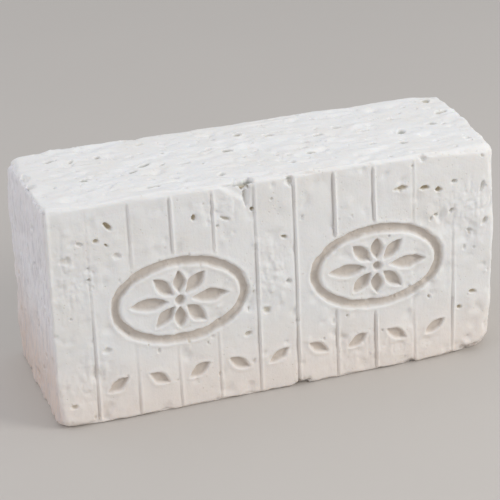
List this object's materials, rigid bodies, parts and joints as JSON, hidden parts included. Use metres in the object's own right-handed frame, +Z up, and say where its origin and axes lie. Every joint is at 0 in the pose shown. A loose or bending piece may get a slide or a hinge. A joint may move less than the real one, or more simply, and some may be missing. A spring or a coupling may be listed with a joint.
{
  "type": "feta cheese block",
  "caption": "Rectangular block of white brined cheese with rounded, uneven edges, mould lines, two pressed oval rosettes and a row of pressed leaves on its front.",
  "frame": {"origin": "middle of the block's box on X and Y, at the height of the flat underside", "axes": "+Z up, +X along the block's long side, -Y out of the patterned front face"},
  "size_m": [0.2254, 0.0867, 0.111],
  "materials": {
    "cheese": "moist matt white curd with small pits"
  },
  "bodies": {
    "root": {"feta_block": "cheese"}
  },
  "joints": []
}
